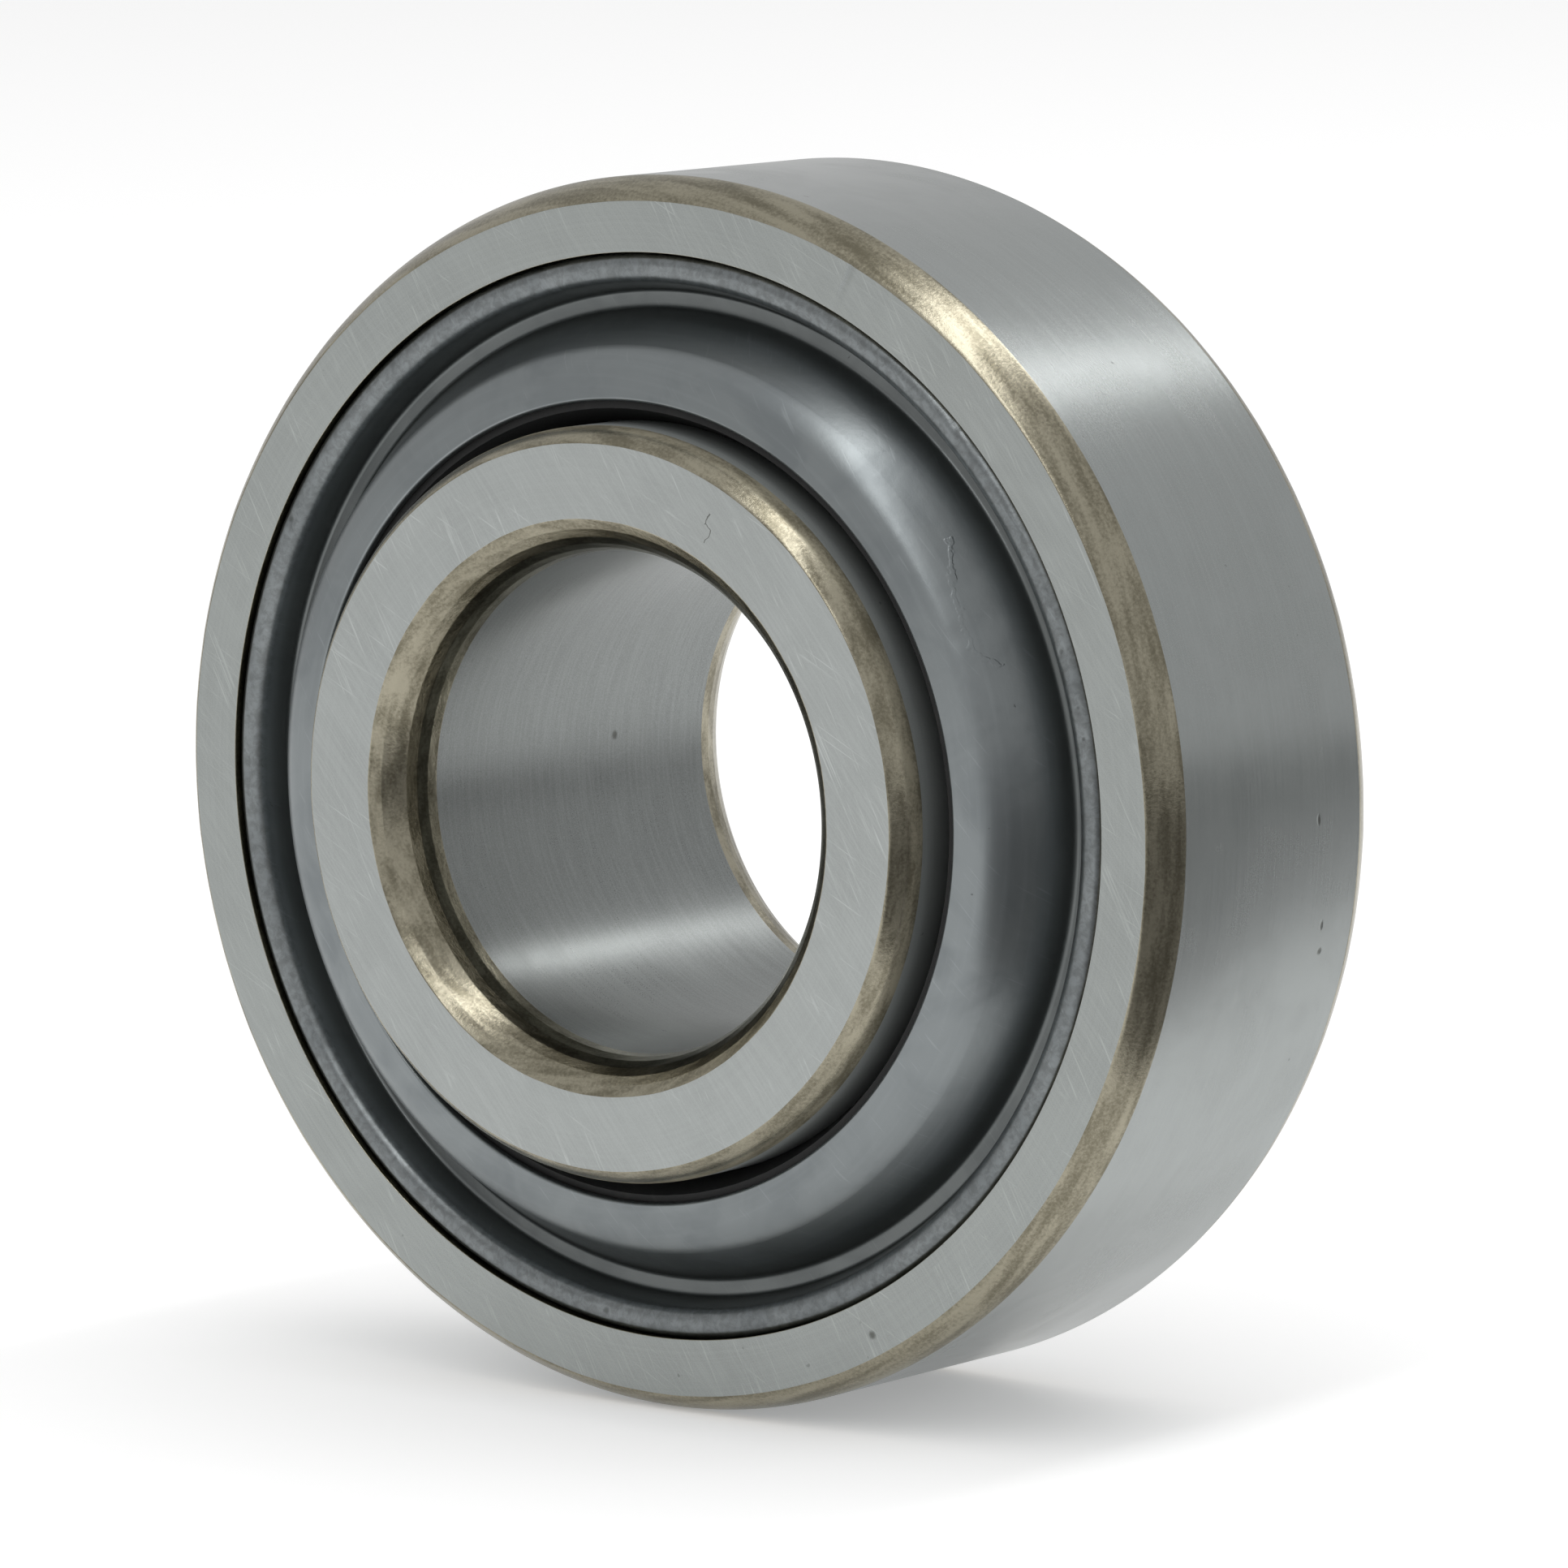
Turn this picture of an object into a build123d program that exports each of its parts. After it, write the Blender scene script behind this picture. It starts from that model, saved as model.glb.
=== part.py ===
from build123d import *
import math
import os

# Single-row deep-groove ball bearing whose inner ring is wider than its outer ring.
# The axis is Y, the front looks along -Y, and the origin is the bearing's centre.
# A section is drawn as (radius, height), where height is the distance from the middle plane
# towards the front, and is revolved about Y. Rear pieces are the front ones mirrored.

# Boundary sizes
outer_diameter = 40.0
outer_ring_width = 12.0
bore_diameter = 16.256  # 0.640 in, for a 5/8 in bolt
inner_ring_width = 18.288  # 0.720 in

# Balls and raceways
ball_count = 8
ball_diameter = 6.747  # 17/64 in
pitch_diameter = 28.5
race_gap = 0.01  # between a centred ball and the bottom of either raceway
race_conformity = 0.52  # raceway groove radius over ball diameter

# Outer ring
outer_corner_depth = 0.72  # radially
outer_corner_length = 1.15  # along the axis
outer_corner_crown = 0.1  # how far the unground corner bulges past its chord
outer_shoulder_radius = 15.9
seal_seat_height = 4.45  # face that the seal's floor rests on
seal_groove_inside_radius = 16.95
seal_groove_floor_height = 4.2
seal_groove_radius = 17.8
seal_groove_height = 5.2  # where the undercut starts to close towards the mouth
seal_mouth_radius = 17.58
seal_mouth_depth = 0.4

# Inner ring
inner_ring_radius = 12.2
inner_corner_depth = 0.49
inner_corner_length = 1.07
inner_corner_crown = 0.12
bore_lead_depth = 1.15
bore_lead_length = 2.05

# Seal: a pressed cover, a rubber washer under it, and a backing ring under the washer
cover_sheet = 0.3
washer_sheet = 0.5
backing_sheet = 0.4
cover_rim = (17.76, 4.95)  # sheared edge, inside the outer ring's groove
cover_bead_outside = (17.46, 5.98)  # corners of the rolled bead, before they are rounded
cover_bead_inside = (16.7, 5.92)
cover_floor_outside = (16.3, 4.75)
cover_floor_inside = (15.78, 4.75)
cover_shoulder = (14.38, 7.27)
cover_land_edge = (12.96, 7.56)
cover_bead_bend = 0.12  # bend radii on the inside of the cover's sheet
cover_floor_bend = 0.15
cover_collar_bend = 0.2
cover_shoulder_bend = 1.0
cover_edge_radius = 0.1  # on the land's sheared edge
washer_outside_height = 5.9  # where the washer starts on the collar's wall
washer_inside_radius = 12.75
backing_outside_height = 5.75
backing_inside_radius = 13.05
lip_gap = 0.03  # running gap between the lip and the inner ring
lip_reach = 1.15  # from the washer's edge back along the inner ring
lip_tip_width = 0.2
lip_root_width = 0.35

# Cage
cage_sheet = 0.5
cage_band = 2.6  # radial width of the ribbon
cage_bend = 0.3
pocket_gap = 0.1  # between a ball and its pocket
rivet_radius = 0.6
rivet_hole_gap = 0.02
rivet_head_radius = 1.0
rivet_head_height = 0.45

# Derived sizes
outer_radius = outer_diameter / 2
bore_radius = bore_diameter / 2
outer_ring_height = outer_ring_width / 2
inner_ring_height = inner_ring_width / 2
ball_radius = ball_diameter / 2
pitch_radius = pitch_diameter / 2
race_groove_radius = race_conformity * ball_diameter
outer_groove_centre = pitch_radius + ball_radius + race_gap - race_groove_radius
inner_groove_centre = pitch_radius - ball_radius - race_gap + race_groove_radius
pocket_radius = ball_radius + pocket_gap
pocket_outside_radius = pocket_radius + cage_sheet
ball_step = 360 / ball_count
section_plane = Plane(origin=(0, 0, 0), x_dir=(1, 0, 0), z_dir=(0, 0, -1))
middle_plane = Plane.XZ  # its normal points to the front


def crown_point(start, end, crown):
    """Middle of the chord from start to end, moved out to the chord's right by crown."""
    chord = Vector(*end) - Vector(*start)
    middle = (Vector(*start) + Vector(*end)) / 2
    return middle + Vector(chord.Y, -chord.X).normalized() * crown


def shifted_corners(corners, depth):
    """Corners of the line that runs depth to the left of the line through corners."""
    points = [Vector(*corner) for corner in corners]
    ways = [(after - before).normalized() for before, after in zip(points, points[1:])]
    normals = [Vector(-way.Y, way.X) for way in ways]
    shifted = [points[0] + normals[0] * depth]
    for point, before, after in zip(points[1:], normals, normals[1:]):
        shifted.append(point + (before + after) * (depth / (1 + before.dot(after))))
    shifted.append(points[-1] + normals[-1] * depth)
    return shifted


def turns_left(before, corner, after):
    """Whether the line through three points turns left at the middle one."""
    arriving = Vector(*corner) - Vector(*before)
    leaving = Vector(*after) - Vector(*corner)
    return arriving.cross(leaving).Z > 0


def draw_sheet(corners, bends, depth, thickness, edge_radius=0):
    """Draws the section of a sheet whose upper side lies depth below a line of corners.

    Each bend is the inside radius of a cover sheet that is bent at that corner, and
    edge_radius rounds the sheet's inner edge.
    """
    upper = shifted_corners(corners, depth)
    lower = shifted_corners(corners, depth + thickness)
    upper_radii = []
    lower_radii = []
    for index, bend in enumerate(bends):
        if turns_left(*corners[index : index + 3]):
            upper_radii.append(bend + cover_sheet - depth)
            lower_radii.append(bend + cover_sheet - depth - thickness)
        else:
            upper_radii.append(bend + depth)
            lower_radii.append(bend + depth + thickness)
    radii = [0, *upper_radii, edge_radius, edge_radius, *reversed(lower_radii), 0]
    FilletPolyline(*upper, *reversed(lower), radius=radii, close=True)


def collar_point(height):
    """Point on the outside of the cover's collar at a height."""
    share = (height - cover_floor_inside[1]) / (cover_shoulder[1] - cover_floor_inside[1])
    radius = cover_floor_inside[0] + share * (cover_shoulder[0] - cover_floor_inside[0])
    return (radius, height)


def land_point(radius):
    """Point on the outside of the cover's land, or on its line carried inwards."""
    slope = (cover_land_edge[1] - cover_shoulder[1]) / (cover_land_edge[0] - cover_shoulder[0])
    return (radius, cover_land_edge[1] + (radius - cover_land_edge[0]) * slope)


def save(piece, name):
    """Labels a finished piece and writes its STEP file."""
    piece.part.label = name
    export_step(piece.part, f"parts/{name}.step")


os.makedirs("parts", exist_ok=True)

# Outer ring: half of the section is drawn, mirrored, and the raceway is cut from it
outer_face_edge = (outer_radius - outer_corner_depth, outer_ring_height)
outer_wall_edge = (outer_radius, outer_ring_height - outer_corner_length)

with BuildPart() as outer_ring:
    with BuildSketch(section_plane):
        with BuildLine():
            Polyline(
                outer_wall_edge,
                (outer_radius, 0),
                (outer_shoulder_radius, 0),
                (outer_shoulder_radius, seal_seat_height),
                (seal_groove_inside_radius, seal_seat_height),
                (seal_groove_inside_radius, seal_groove_floor_height),
                (seal_groove_radius, seal_groove_floor_height),
                (seal_groove_radius, seal_groove_height),
                (seal_mouth_radius, outer_ring_height - seal_mouth_depth),
                (seal_mouth_radius, outer_ring_height),
                outer_face_edge,
            )
            crown = crown_point(outer_wall_edge, outer_face_edge, outer_corner_crown)
            ThreePointArc(outer_face_edge, crown, outer_wall_edge)
        make_face()
        mirror(about=Plane.XZ)
        with Locations((outer_groove_centre, 0)):
            Circle(race_groove_radius, mode=Mode.SUBTRACT)
    revolve(axis=Axis.Y)

save(outer_ring, "outer_ring")

# Inner ring: wider than the outer ring, with a rounded lead into the bore at both ends
inner_face_edge = (inner_ring_radius - inner_corner_depth, inner_ring_height)
inner_wall_edge = (inner_ring_radius, inner_ring_height - inner_corner_length)
lead_face_edge = (bore_radius + bore_lead_depth, inner_ring_height)
lead_bore_edge = (bore_radius, inner_ring_height - bore_lead_length)

with BuildPart() as inner_ring:
    with BuildSketch(section_plane):
        with BuildLine():
            Polyline(lead_bore_edge, (bore_radius, 0), (inner_ring_radius, 0), inner_wall_edge)
            crown = crown_point(inner_wall_edge, inner_face_edge, inner_corner_crown)
            ThreePointArc(inner_wall_edge, crown, inner_face_edge)
            Line(inner_face_edge, lead_face_edge)
            TangentArc(lead_bore_edge, lead_face_edge, tangent=(0, 1))
        make_face()
        mirror(about=Plane.XZ)
        with Locations((inner_groove_centre, 0)):
            Circle(race_groove_radius, mode=Mode.SUBTRACT)
    revolve(axis=Axis.Y)

save(inner_ring, "inner_ring")

# Balls, one in every pocket of the cage
for index in range(ball_count):
    with BuildPart() as ball:
        with Locations(middle_plane):
            with PolarLocations(pitch_radius, 1, start_angle=index * ball_step):
                Sphere(ball_radius)
    save(ball, f"ball_{index + 1}")

# Front half of the cage: a pressed ribbon with a spherical pocket over each ball
with BuildPart() as cage_half_front:
    with Locations(middle_plane):
        with PolarLocations(pitch_radius, ball_count):
            Sphere(pocket_outside_radius)
    with BuildSketch(middle_plane):
        Circle(pitch_radius + cage_band)
    extrude(amount=cage_sheet)
    pocket_roots = (
        cage_half_front.edges()
        .filter_by(GeomType.CIRCLE)
        .filter_by_position(Axis.Y, -cage_sheet, -cage_sheet)
        .filter_by(lambda edge: edge.radius < pocket_outside_radius)
    )
    fillet(pocket_roots, cage_bend)
    with BuildSketch(middle_plane):
        Circle(pitch_radius + cage_band / 2)
        Circle(pitch_radius - cage_band / 2, mode=Mode.SUBTRACT)
    extrude(amount=pocket_outside_radius, mode=Mode.INTERSECT)
    with Locations(middle_plane):
        with PolarLocations(pitch_radius, ball_count):
            Sphere(pocket_radius, mode=Mode.SUBTRACT)
        with PolarLocations(pitch_radius, ball_count, start_angle=ball_step / 2):
            Hole(rivet_radius + rivet_hole_gap)

save(cage_half_front, "cage_half_front")

with BuildPart() as cage_half_rear:
    mirror(cage_half_front.part, about=middle_plane)

save(cage_half_rear, "cage_half_rear")

# Rivets: each has a shank through both ribbons and a domed head on each of them
with BuildPart() as rivet:
    with BuildSketch(Plane.XZ):
        with BuildLine():
            head_edge = (rivet_head_radius, cage_sheet)
            head_top = (0, cage_sheet + rivet_head_height)
            Line((0, 0), head_top)
            RadiusArc(
                head_top,
                head_edge,
                (rivet_head_radius**2 + rivet_head_height**2) / (2 * rivet_head_height),
            )
            Polyline(head_edge, (rivet_radius, cage_sheet), (rivet_radius, 0), (0, 0))
        make_face()
        mirror(about=Plane.XZ)
    revolve(axis=Axis.Z)

with BuildPart() as cage_rivets:
    with Locations(middle_plane):
        with PolarLocations(pitch_radius, ball_count, start_angle=ball_step / 2):
            add(rivet.part)

save(cage_rivets, "cage_rivets")

# Front seal cover: bead, floor, collar and land, from the groove inwards
cover_corners = [
    cover_rim,
    cover_bead_outside,
    cover_bead_inside,
    cover_floor_outside,
    cover_floor_inside,
    cover_shoulder,
    cover_land_edge,
]
cover_bends = [
    cover_bead_bend,
    cover_bead_bend,
    cover_floor_bend,
    cover_collar_bend,
    cover_shoulder_bend,
]

with BuildPart() as front_seal_cover:
    with BuildSketch(section_plane):
        with BuildLine():
            draw_sheet(cover_corners, cover_bends, 0, cover_sheet, cover_edge_radius)
        make_face()
    revolve(axis=Axis.Y)

save(front_seal_cover, "front_seal_cover")

with BuildPart() as rear_seal_cover:
    mirror(front_seal_cover.part, about=middle_plane)

save(rear_seal_cover, "rear_seal_cover")

# Front seal lip: the washer lies against the cover, and its lip rides on the inner ring
washer_corners = [
    collar_point(washer_outside_height),
    cover_shoulder,
    land_point(washer_inside_radius),
]
washer_edge = shifted_corners(washer_corners, cover_sheet)[-1]
washer_back_edge = shifted_corners(washer_corners, cover_sheet + washer_sheet)[-1]
lip_radius = inner_ring_radius + lip_gap
lip_tip_height = washer_edge.Y - lip_reach

with BuildPart() as front_seal_lip:
    with BuildSketch(section_plane):
        with BuildLine():
            draw_sheet(washer_corners, [cover_shoulder_bend], cover_sheet, washer_sheet)
        make_face()
        with BuildLine():
            Polyline(
                washer_edge,
                (lip_radius, lip_tip_height),
                (lip_radius + lip_tip_width, lip_tip_height - lip_tip_width),
                (washer_back_edge.X + lip_root_width, washer_back_edge.Y + lip_tip_width),
                close=True,
            )
        make_face()
    revolve(axis=Axis.Y)

save(front_seal_lip, "front_seal_lip")

with BuildPart() as rear_seal_lip:
    mirror(front_seal_lip.part, about=middle_plane)

save(rear_seal_lip, "rear_seal_lip")

# Front seal backing: nests inside the washer and clamps it against the cover
backing_corners = [
    collar_point(backing_outside_height),
    cover_shoulder,
    land_point(backing_inside_radius),
]

with BuildPart() as front_seal_backing:
    with BuildSketch(section_plane):
        with BuildLine():
            draw_sheet(
                backing_corners,
                [cover_shoulder_bend],
                cover_sheet + washer_sheet,
                backing_sheet,
            )
        make_face()
    revolve(axis=Axis.Y)

save(front_seal_backing, "front_seal_backing")

with BuildPart() as rear_seal_backing:
    mirror(front_seal_backing.part, about=middle_plane)

save(rear_seal_backing, "rear_seal_backing")
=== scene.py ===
import math
import random

import bpy
from mathutils import Matrix, Vector


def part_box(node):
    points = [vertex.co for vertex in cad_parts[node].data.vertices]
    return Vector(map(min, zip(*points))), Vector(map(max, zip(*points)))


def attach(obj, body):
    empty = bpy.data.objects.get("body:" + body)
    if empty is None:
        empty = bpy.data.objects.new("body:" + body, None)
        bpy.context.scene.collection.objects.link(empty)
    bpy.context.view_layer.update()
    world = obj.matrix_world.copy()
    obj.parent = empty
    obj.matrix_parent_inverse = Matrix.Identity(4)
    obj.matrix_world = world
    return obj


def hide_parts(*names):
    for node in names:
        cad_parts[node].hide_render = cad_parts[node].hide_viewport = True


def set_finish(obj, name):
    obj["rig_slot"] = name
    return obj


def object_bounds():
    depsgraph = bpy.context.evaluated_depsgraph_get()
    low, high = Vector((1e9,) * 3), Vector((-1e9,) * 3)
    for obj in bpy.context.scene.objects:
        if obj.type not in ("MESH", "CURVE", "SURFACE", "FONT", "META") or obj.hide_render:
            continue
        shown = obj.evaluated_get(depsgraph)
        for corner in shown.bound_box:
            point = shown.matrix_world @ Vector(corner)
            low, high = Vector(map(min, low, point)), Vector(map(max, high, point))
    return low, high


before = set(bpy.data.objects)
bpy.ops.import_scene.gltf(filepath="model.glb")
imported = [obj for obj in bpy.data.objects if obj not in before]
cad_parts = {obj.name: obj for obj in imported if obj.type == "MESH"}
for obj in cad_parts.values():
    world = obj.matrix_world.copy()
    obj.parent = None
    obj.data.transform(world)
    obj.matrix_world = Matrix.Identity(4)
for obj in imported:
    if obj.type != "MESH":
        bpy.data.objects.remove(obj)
cad_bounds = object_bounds()

# Ball bearing: the rings and seal covers are turned here with their uneven unground corners and
# small dents, the other CAD nodes stay, and each piece gets a procedural finish. A section is a
# list of (radius, height) points in millimetres, and height runs from the middle plane to the
# front, which looks along -Y. Finishes work in the same measures, so they turn with their piece.
MM = 0.001  # metres in a millimetre
TURN_STEPS = 720
ARC_STEP = math.radians(10)
SUPPORT = 0.03  # from a corner to the loop that keeps the flat beside it flat
LONG_RUN = 0.3  # straight runs longer than this have such loops
GROUND, UNGROUND = 0.0, 1.0
WAVE_FALL = 0.65  # how fast an edge's unevenness falls as its waves get shorter
LOWER_WANDER = 0.12  # how much narrower grinding left the outer ring's bands at the bottom

outer_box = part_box("outer_ring")
inner_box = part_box("inner_ring")
OUTER_RADIUS = outer_box[1].x / MM
OUTER_HEIGHT = outer_box[1].y / MM
INNER_RADIUS = inner_box[1].x / MM
INNER_HEIGHT = inner_box[1].y / MM
BORE_RADIUS = 8.128
OUTER_CORNER = (0.72, 1.15, 0.1)  # radial depth, length along the axis and crown
INNER_CORNER = (0.49, 1.07, 0.12)
BORE_LEAD = (1.15, 2.05)
MOUTH_RADIUS = 17.58
MOUTH_DEPTH = 0.4
GROOVE = ((17.8, 5.2), (17.8, 4.2), (16.95, 4.2), (16.95, 4.45), (15.9, 4.45))
RACE_RADIUS = 3.50844
OUTER_RACE_CENTRE = 14.12506
INNER_RACE_CENTRE = 14.37494

COVER_SHEET = 0.3
COVER_CORNERS = (
    (17.76, 4.95),
    (17.46, 5.98),
    (16.7, 5.92),
    (16.3, 4.75),
    (15.78, 4.75),
    (14.38, 7.27),
    (12.96, 7.56),
)
COVER_BENDS = (0.12, 0.12, 0.15, 0.2, 1.0)  # on the inside of each bend
COVER_EDGE = 0.1

# Colours, linear
WALL_STEEL = (0.315, 0.334, 0.329)
FACE_STEEL = (0.292, 0.308, 0.298)
INNER_FACE_STEEL = (0.330, 0.346, 0.338)
# Painted shade: the bore's steel is darker than the faces' so that the bore's reflection is dimmed
BORE_SHADED_STEEL = (0.185, 0.195, 0.191)
UNGROUND_LIGHT = (0.350, 0.325, 0.250)
UNGROUND_DARK = (0.170, 0.155, 0.112)
COVER_STEEL = (0.232, 0.251, 0.256)
COVER_DARK = (0.172, 0.189, 0.197)
# Painted shade for the channel inside the seal cover's bead
CHANNEL_PAINTED_SHADE = (0.07, 0.072, 0.066)
# Painted shade for the top of the seal cover's bead, laid in ragged patches
BEAD_PAINTED_SHADE = (0.085, 0.088, 0.086)
NICK_DARK = (0.06, 0.062, 0.058)
MARK_DARK = (0.06, 0.06, 0.05)


def scaled(factor, colour):
    return tuple(factor * channel for channel in colour)


def uneven(seed, size):
    """A seeded function of the angle that wanders round the ring by about size millimetres."""
    draw = random.Random(seed)
    waves = [
        (count, size / count**WAVE_FALL, draw.uniform(0, math.tau))
        for count in (1, 2, 3, 5, 8, 13, 21, 34, 55, 89, 144)
    ]
    return lambda angle: sum(high * math.sin(count * angle + start) for count, high, start in waves)


def arc(centre, radius, start, end):
    """Points of an arc after its start, which lie no more than ARC_STEP apart."""
    steps = max(2, math.ceil(abs(end - start) / ARC_STEP))
    angles = (start + (end - start) * index / steps for index in range(1, steps + 1))
    return [(centre[0] + radius * math.cos(a), centre[1] + radius * math.sin(a)) for a in angles]


def crowned(start, end, crown, steps=12):
    """Points from start to end on an arc that bulges to the right of its chord by crown."""
    along = Vector(end) - Vector(start)
    out = Vector((along.y, -along.x)).normalized()
    points = []
    for index in range(steps + 1):
        share = index / steps
        point = Vector(start) + along * share + out * crown * 4 * share * (1 - share)
        points.append(tuple(point))
    return points


def rounded(corners, radii):
    """Closed outline through corners, each rounded to its radius."""
    points = []
    for index, (corner, radius) in enumerate(zip(corners, radii)):
        here = Vector(corner)
        if radius <= 0:
            points.append(tuple(here))
            continue
        arriving = (here - Vector(corners[index - 1])).normalized()
        leaving = (Vector(corners[(index + 1) % len(corners)]) - here).normalized()
        turn = math.atan2(arriving.x * leaving.y - arriving.y * leaving.x, arriving.dot(leaving))
        side = math.copysign(1, turn)
        begin = here - arriving * radius * math.tan(abs(turn) / 2)
        centre = begin + Vector((-arriving.y, arriving.x)) * radius * side
        first = math.atan2(begin.y - centre.y, begin.x - centre.x)
        points.append(tuple(begin))
        points += arc(centre, radius, first, first + turn)
    return points


def supported(section):
    """Section with a point just inside both ends of every long straight run."""
    points = []
    for index, (radius, height, kind) in enumerate(section):
        points.append((radius, height, kind))
        next_radius, next_height, next_kind = section[(index + 1) % len(section)]
        run = math.hypot(next_radius - radius, next_height - height)
        if run > LONG_RUN:
            for share in (SUPPORT / run, 1 - SUPPORT / run):
                place = (
                    radius + (next_radius - radius) * share,
                    height + (next_height - height) * share,
                )
                points.append((*place, min(kind, next_kind)))
    return points


def mirrored(front):
    """Whole section from its front half, which ends on the middle plane's side."""
    rear = [(radius, -height, kind) for radius, height, kind in reversed(front)]
    return front + rear


def tagged(points, kind):
    return [(radius, height, kind) for radius, height in points]


def on_circle(degrees, radius, height):
    angle = math.radians(degrees)
    return Vector((radius * math.cos(angle), -height, radius * math.sin(angle)))


def turned(name, section_at, body, node, slot, dents=()):
    """A piece of revolution. section_at gives the section at an angle, always as many points.

    Each dent is (angle in degrees, radius, height, reach, depth), and presses the surface
    towards the middle plane.
    """
    points = []
    kinds = []
    for turn in range(TURN_STEPS):
        angle = math.tau * turn / TURN_STEPS
        for radius, height, kind in section_at(angle):
            points.append(Vector((radius * math.cos(angle), -height, radius * math.sin(angle))))
            kinds.append(kind)
    for degrees, radius, height, reach, depth in dents:
        centre = on_circle(degrees, radius, height)
        inward = Vector((0, math.copysign(1, height), 0))
        for point in points:
            away = (point - centre).length / reach
            if away < 1:
                point += inward * depth * (1 - away * away) ** 2
    count = len(points) // TURN_STEPS
    faces = []
    for turn in range(TURN_STEPS):
        here = turn * count
        there = (turn + 1) % TURN_STEPS * count
        for index in range(count):
            after = (index + 1) % count
            faces.append((here + index, here + after, there + after, there + index))
    mesh = bpy.data.meshes.new(name)
    mesh.from_pydata([point * MM for point in points], [], faces)
    attribute = mesh.attributes.new("unground", "FLOAT", "POINT")
    attribute.data.foreach_set("value", kinds)
    mesh.shade_smooth()
    piece = bpy.data.objects.new(name, mesh)
    bpy.context.scene.collection.objects.link(piece)
    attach(piece, body)
    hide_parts(node)
    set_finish(piece, slot)
    return piece


outer_wander = uneven(11, 0.022)
inner_wander = uneven(23, 0.012)
lead_wander = uneven(37, 0.02)


def outer_section(angle):
    shift = outer_wander(angle) + LOWER_WANDER * max(0.0, -math.sin(angle)) ** 3
    depth, length, crown = OUTER_CORNER
    wall_edge = (OUTER_RADIUS, OUTER_HEIGHT - length + shift)
    face_edge = (OUTER_RADIUS - depth + shift, OUTER_HEIGHT)
    mouth = [(MOUTH_RADIUS, OUTER_HEIGHT), (MOUTH_RADIUS, OUTER_HEIGHT - MOUTH_DEPTH), *GROOVE]
    shoulder = mouth[-1][0]
    race_end = math.acos((shoulder - OUTER_RACE_CENTRE) / RACE_RADIUS)
    race = [
        (OUTER_RACE_CENTRE + RACE_RADIUS * math.cos(a), RACE_RADIUS * math.sin(a))
        for a in (race_end * share / 8 for share in range(8, -1, -1))
    ]
    section = [
        (OUTER_RADIUS, wall_edge[1] - SUPPORT, GROUND),
        *tagged(crowned(wall_edge, face_edge, crown), UNGROUND),
        (face_edge[0] - SUPPORT, OUTER_HEIGHT, GROUND),
        (MOUTH_RADIUS + SUPPORT, OUTER_HEIGHT, GROUND),
        *tagged(mouth, UNGROUND),
        *tagged(race[:-1], GROUND),
    ]
    return supported(mirrored(section))


def inner_section(angle):
    shift = inner_wander(angle)
    lead_shift = lead_wander(angle)
    depth, length, crown = INNER_CORNER
    wall_edge = (INNER_RADIUS, INNER_HEIGHT - length + shift)
    face_edge = (INNER_RADIUS - depth + shift, INNER_HEIGHT)
    lead_depth, lead_length = BORE_LEAD
    lead_radius = (lead_depth**2 + lead_length**2) / (2 * lead_depth)
    lead_turn = math.asin(lead_length / lead_radius)
    lead_centre = (BORE_RADIUS + lead_radius, INNER_HEIGHT - lead_length)
    lead = arc(lead_centre, lead_radius, math.pi - lead_turn, math.pi)
    race_end = math.acos((INNER_RACE_CENTRE - INNER_RADIUS) / RACE_RADIUS)
    race = [
        (INNER_RACE_CENTRE - RACE_RADIUS * math.cos(a), RACE_RADIUS * math.sin(a))
        for a in (race_end * share / 8 for share in range(0, 9))
    ]
    section = [
        *tagged(race[1:], GROUND),
        (INNER_RADIUS, wall_edge[1] - SUPPORT, GROUND),
        *tagged(crowned(wall_edge, face_edge, crown), UNGROUND),
        (face_edge[0] - SUPPORT, INNER_HEIGHT, GROUND),
        (BORE_RADIUS + lead_depth + lead_shift + SUPPORT, INNER_HEIGHT, GROUND),
        (BORE_RADIUS + lead_depth + lead_shift, INNER_HEIGHT, UNGROUND),
        *tagged(lead, UNGROUND),
        (BORE_RADIUS, INNER_HEIGHT - lead_length - SUPPORT, GROUND),
    ]
    return supported(mirrored(section))


def sheet_section(corners, bends, thickness, edge):
    """Closed section of a bent sheet whose outside follows corners."""
    points = [Vector(corner) for corner in corners]
    ways = [(after - before).normalized() for before, after in zip(points, points[1:])]
    normals = [Vector((-way.y, way.x)) for way in ways]
    lower = [points[0] + normals[0] * thickness]
    for point, before, after in zip(points[1:], normals, normals[1:]):
        lower.append(point + (before + after) * (thickness / (1 + before.dot(after))))
    lower.append(points[-1] + normals[-1] * thickness)
    upper_radii, lower_radii = [], []
    for before, after, bend in zip(ways, ways[1:], bends):
        left = before.x * after.y - before.y * after.x > 0
        upper_radii.append(bend + thickness if left else bend)
        lower_radii.append(bend if left else bend + thickness)
    radii = [edge, *upper_radii, edge, edge, *reversed(lower_radii), edge]
    return rounded([*map(tuple, points), *map(tuple, reversed(lower))], radii)


cover_outline = sheet_section(COVER_CORNERS, COVER_BENDS, COVER_SHEET, COVER_EDGE)
cover_front = supported(tagged(cover_outline, GROUND))
cover_rear = [(radius, -height, kind) for radius, height, kind in reversed(cover_front)]
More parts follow.
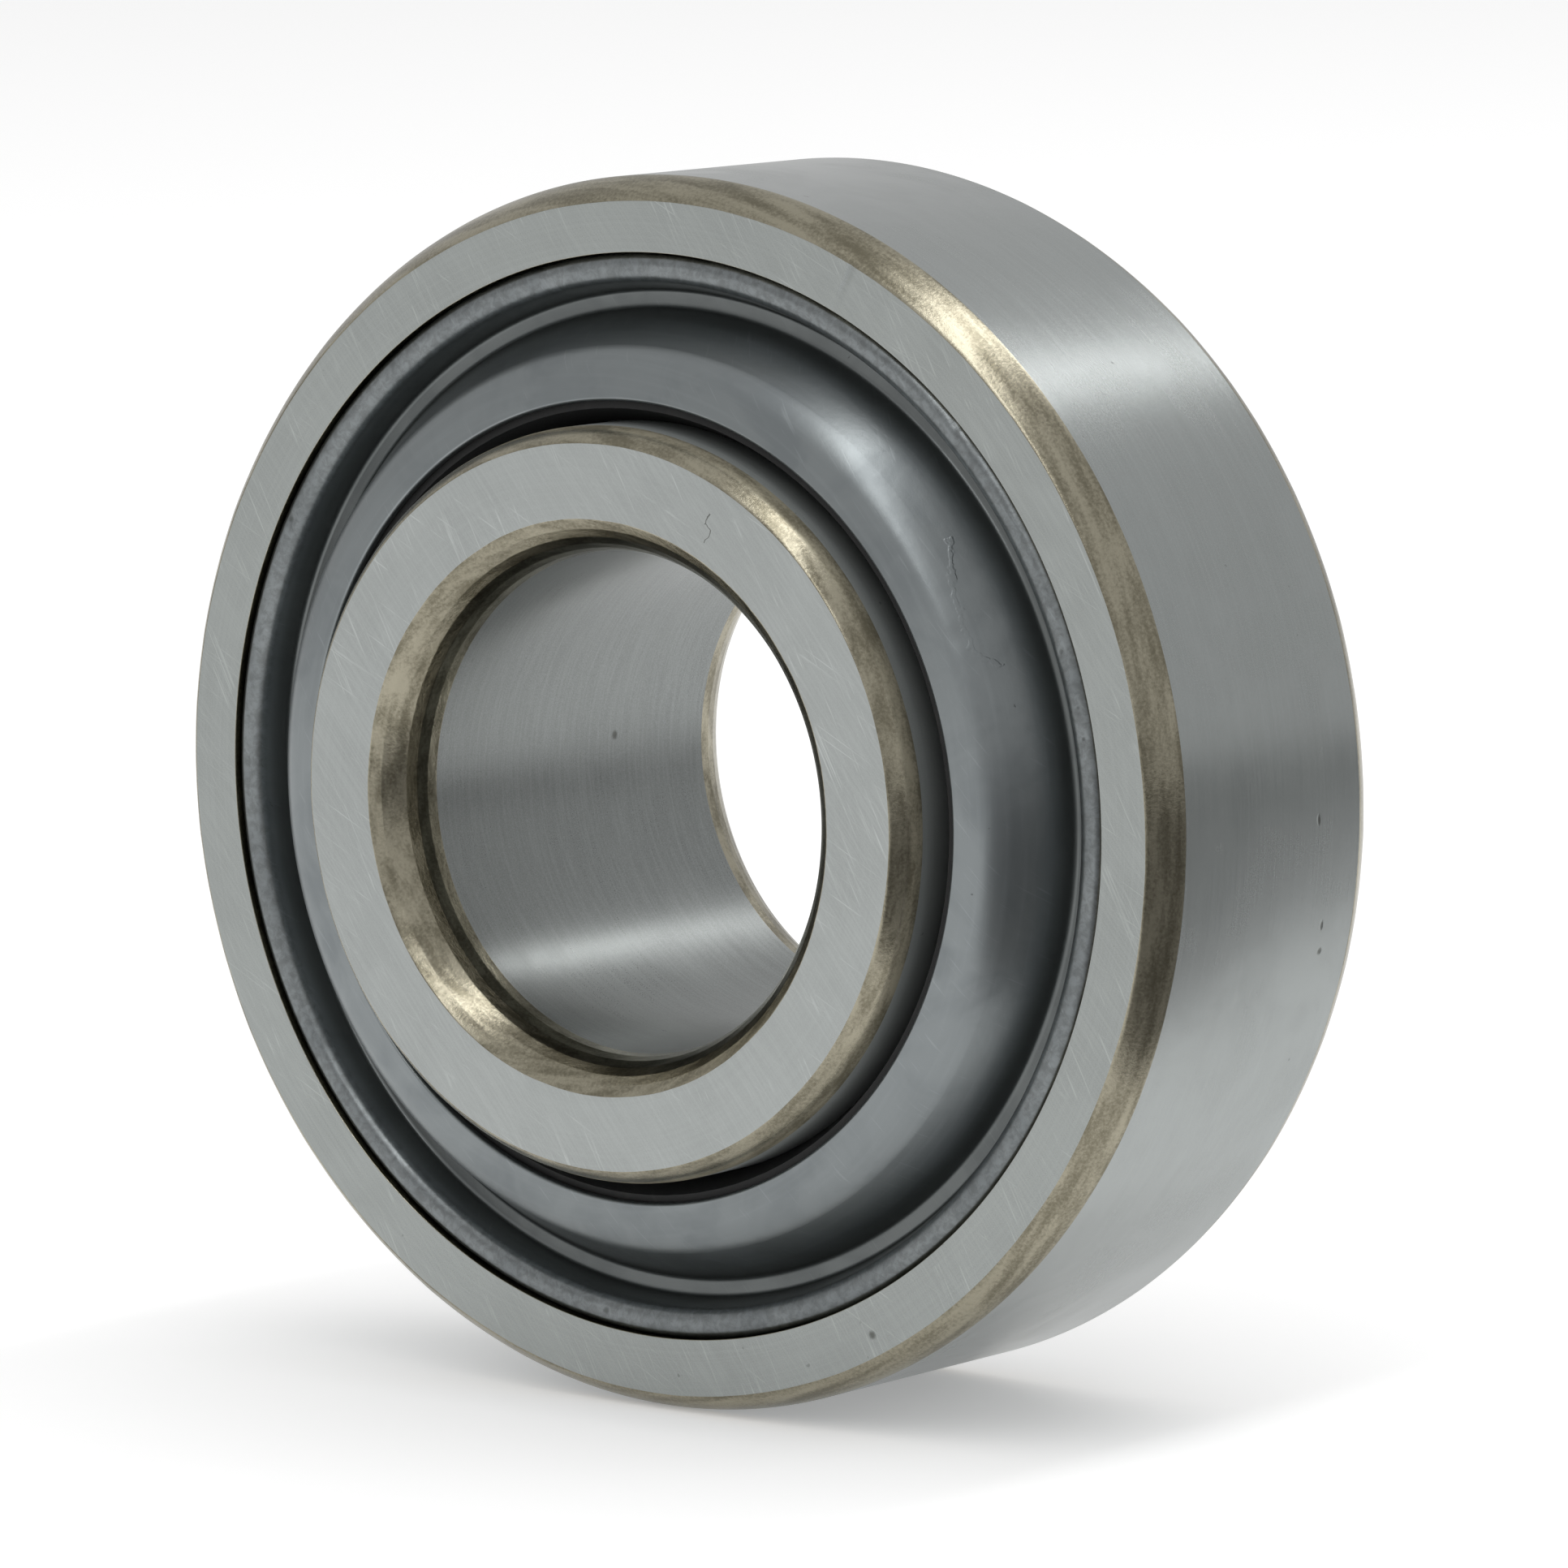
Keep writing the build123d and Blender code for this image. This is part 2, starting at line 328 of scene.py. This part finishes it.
# Dents, as (angle in degrees, radius, height, reach, depth)
BEAD_DENTS = (
    (20.2, 17.0, 5.95, 0.30, 0.05),
    (14.1, 17.15, 5.95, 0.25, 0.05),
    (10.8, 17.15, 5.95, 0.22, 0.04),
    (47.0, 17.4, 5.9, 0.30, 0.05),
    (43.5, 17.45, 5.9, 0.26, 0.05),
    (152.0, 17.2, 5.95, 0.35, 0.04),
    (263.0, 17.1, 5.95, 0.40, 0.03),
)
RING_DENTS = (
    (-62.1, 18.71, 6.0, 0.16, 0.05),
    (66.0, 19.25, 6.0, 0.18, 0.04),
)
SHOULDER_DENTS = (
    (31.5, 14.83, 7.0, 0.55, 0.05),
    (26.0, 14.45, 6.9, 0.60, 0.05),
)
turned_pieces = [
    turned(
        "outer_ring_turned",
        outer_section,
        "outer",
        "outer_ring",
        "outer_ring_steel",
        RING_DENTS,
    ),
    turned("inner_ring_turned", inner_section, "inner", "inner_ring", "inner_ring_steel"),
    turned(
        "front_cover_pressed",
        lambda angle: cover_front,
        "outer",
        "front_seal_cover",
        "seal_cover_steel",
        BEAD_DENTS + SHOULDER_DENTS,
    ),
    turned(
        "rear_cover_pressed",
        lambda angle: cover_rear,
        "outer",
        "rear_seal_cover",
        "seal_cover_steel",
    ),
]


# Hairlines on the front, as (x, z) points, and their half widths
HAIRLINE_WIDTH = 0.025
INNER_HAIRLINES = (((4.58, 9.78), (4.45, 9.37), (4.64, 9.2), (4.45, 8.85)),)
CREASE = ((11.83, 9.17), (12.44, 7.71), (12.89, 6.66), (13.35, 5.77), (13.88, 5.34))
CREASE_WIDTH = 0.07

# Small dark marks, as (place, reach, stretch)
OUTER_MARKS = (
    ((8.75, -6.0, -16.54), 0.26),
    ((20.0, 2.52, 0.02), 0.16, (1, 1, 0.5)),
    ((19.7, 3.14, -3.45), 0.15, (1, 1, 0.4)),
    ((19.53, 3.27, -4.31), 0.17, (1, 0.7, 0.8)),
    ((19.4, -5.4, -2.6), 0.14, (1, 0.5, 1)),
)
INNER_MARKS = (
    ((-8.1, 2.3, 0.62), 0.3),
    ((4.34, -9.0, 11.22), 0.16),
)


class Finish:
    """A procedural material, built up from patterns that follow the bearing's round shape."""

    def __init__(self, name, metallic):
        self.material = bpy.data.materials.new(name)
        self.material.use_nodes = True
        self.tree = self.material.node_tree
        kinds = {node.type: node for node in self.tree.nodes}
        self.shader = kinds["BSDF_PRINCIPLED"]
        self.shader.inputs["Metallic"].default_value = metallic
        place = self.add("ShaderNodeTexCoord").outputs["Object"]
        self.place = self.vector("SCALE", place, scale=1 / MM)
        split = self.add("ShaderNodeSeparateXYZ", place_in=self.place)
        self.x, self.y, self.z = split.outputs
        across = self.math("MULTIPLY", self.x, self.x)
        down = self.math("MULTIPLY", self.z, self.z)
        self.radius = self.math("SQRT", self.math("ADD", across, down))
        self.height = self.math("ABSOLUTE", self.y)
        self.cos = self.math("DIVIDE", self.x, self.radius)
        self.sin = self.math("DIVIDE", self.z, self.radius)

    def add(self, kind, place_in=None, **settings):
        node = self.tree.nodes.new(kind)
        for key, value in settings.items():
            setattr(node, key, value)
        if place_in is not None:
            self.tree.links.new(place_in, node.inputs[0])
        return node

    def feed(self, socket, value):
        if isinstance(value, bpy.types.NodeSocket):
            self.tree.links.new(value, socket)
        else:
            socket.default_value = value

    def math(self, operation, first, second=0.0, third=0.0, clamp=False):
        node = self.add("ShaderNodeMath", operation=operation, use_clamp=clamp)
        for socket, value in zip(node.inputs, (first, second, third)):
            self.feed(socket, value)
        return node.outputs[0]

    def vector(self, operation, first, second=(0, 0, 0), scale=1.0):
        node = self.add("ShaderNodeVectorMath", operation=operation)
        self.feed(node.inputs[0], first)
        if operation == "SCALE":
            self.feed(node.inputs["Scale"], scale)
        else:
            self.feed(node.inputs[1], second)
        number = operation in ("LENGTH", "DISTANCE", "DOT_PRODUCT")
        return node.outputs["Value"] if number else node.outputs[0]

    def combine(self, x, y, z):
        node = self.add("ShaderNodeCombineXYZ")
        for socket, value in zip(node.inputs, (x, y, z)):
            self.feed(socket, value)
        return node.outputs[0]

    def noise(self, place, scale, detail=2.0, rough=0.5, warp=0.0):
        node = self.add("ShaderNodeTexNoise")
        self.feed(node.inputs["Vector"], place)
        self.feed(node.inputs["Scale"], scale)
        self.feed(node.inputs["Detail"], detail)
        self.feed(node.inputs["Roughness"], rough)
        self.feed(node.inputs["Distortion"], warp)
        return node.outputs[0]

    def step(self, value, start, end, low=0.0, high=1.0):
        """Goes smoothly from low to high as value goes from start to end."""
        node = self.add("ShaderNodeMapRange", interpolation_type="SMOOTHSTEP")
        for socket, number in zip(node.inputs, (value, start, end, low, high)):
            self.feed(socket, number)
        return node.outputs[0]

    def mix(self, share, first, second):
        """Colour that goes from first to second as share goes from 0 to 1."""
        node = self.add("ShaderNodeMix", data_type="RGBA")
        self.feed(node.inputs[0], share)
        for socket, value in zip((node.inputs[6], node.inputs[7]), (first, second)):
            self.feed(socket, (*value, 1.0) if isinstance(value, tuple) else value)
        return node.outputs[2]

    def blend(self, share, first, second):
        """Number that goes from first to second as share goes from 0 to 1."""
        node = self.add("ShaderNodeMix", data_type="FLOAT")
        self.feed(node.inputs[0], share)
        for socket, value in zip((node.inputs[2], node.inputs[3]), (first, second)):
            self.feed(socket, value)
        return node.outputs[0]

    def over(self, colour, pattern, share, tint):
        """Colour with tint laid over it where the pattern is, as strongly as share says."""
        return self.mix(self.math("MULTIPLY", pattern, share), colour, tint)

    def sum(self, *terms):
        """Sum of (pattern, weight) terms."""
        total = 0.0
        for pattern, weight in terms:
            total = self.math("MULTIPLY_ADD", pattern, weight, total)
        return total

    def rings(self, fine, around, offset=0.0, detail=2.0):
        """Fine lines round the axis. fine is lines per millimetre, around how soon they end."""
        radius = self.math("MULTIPLY_ADD", self.radius, fine, offset)
        place = self.combine(radius, self.math("MULTIPLY", self.y, fine), 0.0)
        spoke = self.vector("SCALE", self.combine(self.cos, 0.0, self.sin), scale=around)
        return self.noise(self.vector("ADD", place, spoke), 1.0, detail)

    def hatch(self, turn, fine, long, start, end):
        """Straight scratches across a flat face, turned by that many degrees."""
        node = self.add("ShaderNodeVectorRotate", rotation_type="Y_AXIS")
        self.feed(node.inputs["Vector"], self.place)
        self.feed(node.inputs["Angle"], math.radians(turn))
        place = self.vector("MULTIPLY", node.outputs[0], (fine, long, long))
        return self.step(self.noise(place, 1.0, 1.0, 0.5, 0.15), start, end)

    def blotches(self, scale, start, end, detail=3.0, warp=0.6):
        return self.step(self.noise(self.place, scale, detail, 0.6, warp), start, end)

    def spot(self, centre, reach, stretch=(1, 1, 1), ragged=0.6):
        """A small mark with a ragged edge around a point, 1 in its middle and 0 outside."""
        apart = self.vector("MULTIPLY", self.vector("SUBTRACT", self.place, centre), stretch)
        ragging = self.math("MULTIPLY", self.noise(self.place, 5.0, 3.0), reach * ragged)
        away = self.math("ADD", self.vector("LENGTH", apart), ragging)
        return self.step(away, reach, reach * 0.5)

    def stroke(self, points, width):
        """A hairline through (x, z) points on a front face, 1 along it and 0 outside."""
        place = self.combine(self.x, 0.0, self.z)
        drift = self.vector("SUBTRACT", self.noise_colour(2.5), (0.5, 0.5, 0.5))
        drift = self.vector("SCALE", drift, scale=0.35)
        place = self.vector("ADD", place, self.vector("MULTIPLY", drift, (1, 0, 1)))
        lines = []
        for (x0, z0), (x1, z1) in zip(points, points[1:]):
            run = Vector((x1 - x0, 0, z1 - z0))
            from_start = self.vector("SUBTRACT", place, (x0, 0, z0))
            ahead = self.vector("DOT_PRODUCT", from_start, tuple(run))
            share = self.math("DIVIDE", ahead, run.length_squared, clamp=True)
            along = self.vector("SCALE", tuple(run), scale=share)
            away = self.vector("LENGTH", self.vector("SUBTRACT", from_start, along))
            lines.append(self.step(away, width, width * 0.3))
        front = self.step(self.y, 0.0, -1.0)
        return self.math("MULTIPLY", self.together(*lines), front)

    def noise_colour(self, scale):
        node = self.add("ShaderNodeTexNoise")
        self.feed(node.inputs["Vector"], self.place)
        self.feed(node.inputs["Scale"], scale)
        return node.outputs["Color"]

    def painted(self, name):
        """A number that the mesh holds at each point."""
        return self.add("ShaderNodeAttribute", attribute_name=name).outputs["Fac"]

    def together(self, *masks):
        """Where any of the masks is."""
        total = masks[0]
        for mask in masks[1:]:
            total = self.math("MAXIMUM", total, mask)
        return total

    def finish(self, colour, roughness, height=None, depth=1.0):
        """Ends the material. height is a pattern and depth how deep it is, in micrometres."""
        self.feed(self.shader.inputs["Base Color"], colour)
        self.feed(self.shader.inputs["Roughness"], roughness)
        if height is not None:
            bump = self.add("ShaderNodeBump")
            bump.inputs["Strength"].default_value = 1.0
            bump.inputs["Distance"].default_value = depth * MM * MM
            self.feed(bump.inputs["Height"], height)
            self.feed(self.shader.inputs["Normal"], bump.outputs[0])
        return self.material


def unground(finish):
    """Colour and relief of the turned, heat-tinted steel that grinding has left alone."""
    streaks = finish.rings(2.2, 7.0, 5.0, 4.0)
    grain = finish.noise(finish.place, 9.0, 4.0, 0.7)
    tint = finish.step(finish.sum((streaks, 0.6), (grain, 0.4)), 0.36, 0.62)
    colour = finish.mix(tint, UNGROUND_DARK, UNGROUND_LIGHT)
    return colour, finish.sum((streaks, 0.7), (grain, 0.5))


def ring_steel(name, face, wall, inside, dull, face_reach, marks=(), hairlines=()):
    """Ground ring steel, with unground corners where the mesh says so.

    face_reach is the height above which a surface is the flat face. inside is the colour of
    what lies nearer the axis than a radius, as (radius, colour), and dull is how much rougher
    the steel is beyond a radius, as (radius, roughness).
    """
    finish = Finish(name, 1.0)
    edge = finish.noise(finish.place, 7.0, 3.0, 0.6)
    band = finish.step(finish.sum((finish.painted("unground"), 1.0), (edge, 0.35)), 0.5, 0.75)
    rough_colour, rough_relief = unground(finish)

    flat = finish.step(finish.height, face_reach - 0.02, face_reach - 0.005)
    lines = finish.rings(9.0, 4.0)
    coarse = finish.rings(2.5, 1.2, 3.0)
    scratches = finish.together(
        finish.hatch(28, 14.0, 0.25, 0.60, 0.76),
        finish.hatch(63, 17.0, 0.30, 0.64, 0.78),
    )
    patches = finish.blotches(0.5, 0.42, 0.62)
    scratches = finish.math("MULTIPLY", finish.math("MULTIPLY", scratches, flat), patches)
    brushed = finish.math("MULTIPLY", finish.hatch(40, 15.0, 0.35, 0.35, 0.75), flat)
    smudges = finish.blotches(0.25, 0.35, 0.7)
    fleck = finish.noise(finish.place, 26.0, 2.0, 0.6)
    specks = finish.step(finish.noise(finish.place, 2.6, 2.0, 0.5), 0.77, 0.81)
    ground = finish.mix(flat, wall, face)
    within = finish.step(finish.radius, inside[0] + 0.05, inside[0] - 0.05)
    beyond = finish.step(finish.radius, dull[0], dull[0] + 0.1)
    ground = finish.mix(within, ground, inside[1])
    ground = finish.over(ground, smudges, 0.25, scaled(0.8, face))
    ground = finish.over(ground, finish.step(lines, 0.35, 0.75), 0.16, scaled(1.3, wall))
    ground = finish.over(ground, finish.step(fleck, 0.35, 0.7), 0.34, scaled(1.25, wall))
    ground = finish.over(ground, brushed, 0.28, scaled(1.3, face))
    ground = finish.over(ground, scratches, 0.5, scaled(1.7, face))
    ground = finish.over(ground, specks, 0.5, scaled(0.45, face))
    colour = finish.mix(band, ground, rough_colour)
    pits = finish.together(0.0, *[finish.spot(*mark) for mark in marks])
    cuts = finish.together(0.0, *[finish.stroke(points, HAIRLINE_WIDTH) for points in hairlines])
    colour = finish.over(colour, finish.together(pits, cuts), 0.7, MARK_DARK)
    roughness = finish.sum(
        (smudges, 0.05),
        (scratches, 0.06),
        (lines, 0.05),
        (fleck, 0.06),
        (flat, 0.06),
        (within, 0.06),
        (1.0, 0.17),
    )
    roughness = finish.blend(band, roughness, finish.sum((rough_relief, 0.08), (1.0, 0.19)))
    roughness = finish.math("MULTIPLY_ADD", beyond, dull[1], roughness)
    relief = finish.sum(
        (lines, 0.5),
        (coarse, 0.5),
        (scratches, -0.6),
        (pits, -5.0),
        (cuts, -3.0),
        (fleck, 0.8),
        (brushed, 0.4),
    )
    relief = finish.blend(band, relief, finish.sum((rough_relief, 12.0), (1.0, -6.4)))
    return finish.finish(colour, roughness, relief, 1.0)


def cover_steel():
    """Cold-rolled sheet of the seal covers, pressed smooth, with handling marks, painted shade in the
    channel inside the bead and a bead darkened with painted shade.
    """
    finish = Finish("seal_cover_steel", 1.0)
    orange_peel = finish.noise(finish.place, 3.0, 3.0, 0.5)
    drawn = finish.rings(5.0, 5.0)
    smudges = finish.blotches(0.35, 0.38, 0.7)
    grain = finish.noise(finish.place, 18.0, 2.0, 0.5)
    scuffs = finish.hatch(40, 12.0, 0.6, 0.66, 0.8)
    crease = finish.stroke(CREASE, CREASE_WIDTH)
    colour = finish.over(COVER_STEEL, smudges, 0.6, COVER_DARK)
    colour = finish.over(colour, finish.step(drawn, 0.45, 0.8), 0.2, scaled(1.25, COVER_STEEL))
    colour = finish.over(colour, scuffs, 0.2, scaled(1.7, COVER_STEEL))
    nicks = finish.step(finish.noise(finish.place, 1.9, 3.0, 0.6, 0.8), 0.74, 0.79)
    for degrees, radius, height, reach, depth in BEAD_DENTS:
        nicks = finish.together(nicks, finish.spot(on_circle(degrees, radius, height), reach * 0.6))
    colour = finish.over(colour, nicks, 0.6, NICK_DARK)
    # Painted shade: the channel between the bead and the dish is darkened to stand in for the shade that
    # falls in this recess
    channel = finish.math(
        "MULTIPLY",
        finish.step(finish.height, 5.7, 4.95),
        finish.step(finish.radius, 17.0, 16.6),
    )
    colour = finish.over(colour, channel, 0.55, CHANNEL_PAINTED_SHADE)
    # Painted shade: the top of the bead is darkened in ragged patches, a tone that stands in for the bead's
    # shade
    bead = finish.math(
        "MULTIPLY",
        finish.step(finish.height, 5.4, 5.8),
        finish.step(finish.radius, 16.4, 16.6),
    )
    bead_shade_patches = finish.step(finish.noise(finish.place, 3.2, 4.0, 0.7, 0.5), 0.35, 0.65, 0.1, 0.5)
    colour = finish.over(colour, bead, bead_shade_patches, BEAD_PAINTED_SHADE)
    roughness = finish.sum((smudges, 0.06), (grain, 0.08), (drawn, 0.04), (1.0, 0.27))
    relief = finish.sum(
        (orange_peel, 3.0),
        (drawn, 0.4),
        (grain, 1.3),
        (nicks, -3.0),
        (crease, 7.0),
        (scuffs, -0.6),
    )
    return finish.finish(colour, roughness, relief, 1.0)


def plain_steel(name, light, dark, rough, lines_deep):
    """Bare steel with fine lines round the axis and a little staining."""
    finish = Finish(name, 1.0)
    lines = finish.rings(7.0, 5.0)
    stains = finish.blotches(0.6, 0.4, 0.75)
    grain = finish.noise(finish.place, 12.0, 3.0, 0.6)
    colour = finish.mix(finish.sum((stains, 0.6), (grain, 0.3)), light, dark)
    roughness = finish.math("ADD", finish.sum((stains, 0.06), (grain, 0.06)), rough)
    return finish.finish(colour, roughness, finish.sum((lines, lines_deep), (grain, lines_deep * 0.6)), 1.0)


def rubber():
    """Matt black nitrile rubber with a fine moulded grain."""
    finish = Finish("seal_rubber", 0.0)
    grain = finish.noise(finish.place, 16.0, 4.0, 0.6)
    dust = finish.blotches(0.8, 0.55, 0.8)
    colour = finish.over((0.012, 0.012, 0.012), dust, 0.5, (0.035, 0.034, 0.031))
    finish.shader.inputs["Specular IOR Level"].default_value = 0.35
    return finish.finish(colour, finish.math("MULTIPLY_ADD", grain, 0.2, 0.5), grain, 6.0)


finishes = {
    "outer_ring_steel": ring_steel(
        "outer_ring_steel",
        FACE_STEEL,
        WALL_STEEL,
        (0.0, FACE_STEEL),
        (OUTER_RADIUS + 1.0, 0.0),
        OUTER_HEIGHT,
        OUTER_MARKS,
    ),
    "inner_ring_steel": ring_steel(
        "inner_ring_steel",
        INNER_FACE_STEEL,
        WALL_STEEL,
        # the bore gets the darker steel, painted shade that dims its reflection
        (BORE_RADIUS + 0.1, BORE_SHADED_STEEL),
        (INNER_RADIUS - 0.15, 0.42),
        INNER_HEIGHT,
        INNER_MARKS,
        INNER_HAIRLINES,
    ),
    "ball_steel": plain_steel("ball_steel", (0.46, 0.46, 0.46), (0.40, 0.40, 0.41), 0.06, 0.05),
    "cage_steel": plain_steel("cage_steel", (0.40, 0.40, 0.39), (0.27, 0.26, 0.24), 0.28, 1.0),
    "rivet_steel": plain_steel("rivet_steel", (0.44, 0.44, 0.43), (0.30, 0.29, 0.27), 0.24, 1.0),
    "seal_cover_steel": cover_steel(),
    "seal_rubber": rubber(),
    "seal_backing_steel": plain_steel(
        "seal_backing_steel", (0.30, 0.31, 0.31), (0.20, 0.20, 0.19), 0.3, 1.0
    ),
}

slot_of_node = {
    "outer_ring": "outer_ring_steel",
    "inner_ring": "inner_ring_steel",
    "cage_half_front": "cage_steel",
    "cage_half_rear": "cage_steel",
    "cage_rivets": "rivet_steel",
    "front_seal_cover": "seal_cover_steel",
    "rear_seal_cover": "seal_cover_steel",
    "front_seal_lip": "seal_rubber",
    "rear_seal_lip": "seal_rubber",
    "front_seal_backing": "seal_backing_steel",
    "rear_seal_backing": "seal_backing_steel",
}
for name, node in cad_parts.items():
    finish = finishes[slot_of_node.get(name, "ball_steel")]
    for slot in node.material_slots:
        slot.material = finish
for piece in turned_pieces:
    piece.data.materials.append(finishes[piece["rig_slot"]])


# Studio: a pale floor that runs out of view, even light all round and a long strip overhead
def link(name, data):
    made = bpy.data.objects.new(name, data)
    bpy.context.scene.collection.objects.link(made)
    return made


FLOOR_REACH = 6.0
FLOOR_SHADE, FLOOR_GLOW = 0.86, 0.25
WORLD_LIGHT, BACKDROP = 0.68, 0.93  # the backdrop is what the camera sees past the floor
CARD_SHADE = 0.2
CARD_LIFT = 0.0003
CARD_TOP = 0.006


def matt_paper(name, shade):
    """Plain matt paper, with its shader."""
    paper = bpy.data.materials.new(name)
    paper.use_nodes = True
    shader = next(node for node in paper.node_tree.nodes if node.type == "BSDF_PRINCIPLED")
    shader.inputs["Base Color"].default_value = (shade, shade, shade, 1.0)
    shader.inputs["Roughness"].default_value = 0.9
    return paper, shader


lowest = cad_bounds[0].z
floor_ways = ((-1, -1), (1, -1), (1, 1), (-1, 1))
floor_corners = [(x * FLOOR_REACH, y * FLOOR_REACH, lowest) for x, y in floor_ways]
floor_mesh = bpy.data.meshes.new("floor")
floor_mesh.from_pydata(floor_corners, [], [(0, 1, 2, 3)])
floor = link("floor", floor_mesh)
floor_paper, floor_shader = matt_paper("floor_paper", FLOOR_SHADE)
floor_shader.inputs["Specular IOR Level"].default_value = 0.1
floor_shader.inputs["Emission Color"].default_value = (1.0, 1.0, 1.0, 1.0)
floor_shader.inputs["Emission Strength"].default_value = FLOOR_GLOW
floor_mesh.materials.append(floor_paper)

world = bpy.data.worlds.new("studio")
bpy.context.scene.world = world
world.use_nodes = True
background = next(node for node in world.node_tree.nodes if node.type == "BACKGROUND")
background.inputs["Color"].default_value = (1.0, 1.0, 1.0, 1.0)
background.inputs["Strength"].default_value = WORLD_LIGHT
backdrop = world.node_tree.nodes.new("ShaderNodeBackground")
backdrop.inputs["Color"].default_value = (1.0, 1.0, 1.0, 1.0)
backdrop.inputs["Strength"].default_value = BACKDROP
light_path = world.node_tree.nodes.new("ShaderNodeLightPath")
choice = world.node_tree.nodes.new("ShaderNodeMixShader")
world_output = next(node for node in world.node_tree.nodes if node.type == "OUTPUT_WORLD")
world.node_tree.links.new(light_path.outputs["Is Camera Ray"], choice.inputs[0])
world.node_tree.links.new(background.outputs[0], choice.inputs[1])
world.node_tree.links.new(backdrop.outputs[0], choice.inputs[2])
world.node_tree.links.new(choice.outputs[0], world_output.inputs[0])


def dark_card(name, corners):
    """A card that only reflections see, as a studio sets beside shiny metal."""
    mesh = bpy.data.meshes.new(name)
    mesh.from_pydata(corners, [], [(0, 1, 2, 3)])
    card = link(name, mesh)
    card.visible_camera = False
    card.visible_diffuse = False
    card.visible_shadow = False
    mesh.materials.append(matt_paper(name + "_paper", CARD_SHADE)[0])


card_foot = lowest + CARD_LIFT
dark_card(
    "side_card",
    [
        (0.12, -0.20, card_foot),
        (0.16, 0.24, card_foot),
        (0.16, 0.24, CARD_TOP),
        (0.12, -0.20, CARD_TOP),
    ],
)
dark_card(
    "floor_card",
    [
        (0.032, -0.24, card_foot),
        (0.1205, -0.205, card_foot),
        (0.1605, 0.245, card_foot),
        (0.032, 0.02, card_foot),
    ],
)


def strip_light(name, place, width, length, power):
    """A soft strip, long along Y, that is turned towards the bearing's axis."""
    data = bpy.data.lights.new(name, "AREA")
    data.shape = "RECTANGLE"
    data.size = width
    data.size_y = length
    data.energy = power
    light = link(name, data)
    light.location = place
    light.rotation_euler = (0, math.atan2(place[0], place[2]), 0)


strip_light("overhead_strip", (0.14, -0.27, 0.62), 0.10, 2.2, 3.9)

# Camera, from the middle of the outer ring's front face
AZIMUTH = math.radians(37.0172)
ELEVATION = math.radians(7.5086)
LENS = 235.61
AWAY = (0.0041682, 0.0004675, 0.3299991)  # to the right, up and back, in metres
right = Vector((math.cos(AZIMUTH), math.sin(AZIMUTH), 0.0))
back = Vector((
    math.sin(AZIMUTH) * math.cos(ELEVATION),
    -math.cos(AZIMUTH) * math.cos(ELEVATION),
    math.sin(ELEVATION),
))
up = back.cross(right)
target = Vector((0.0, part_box("outer_ring")[0].y, 0.0))
stand = target + right * AWAY[0] + up * AWAY[1] + back * AWAY[2]
lens = bpy.data.cameras.new("camera")
lens.lens = LENS
lens.clip_start = 0.01
camera = link("camera", lens)
camera.matrix_world = Matrix.Translation(stand) @ Matrix((right, up, back)).transposed().to_4x4()
bpy.context.scene.camera = camera
bpy.context.scene.view_settings.view_transform = "Standard"
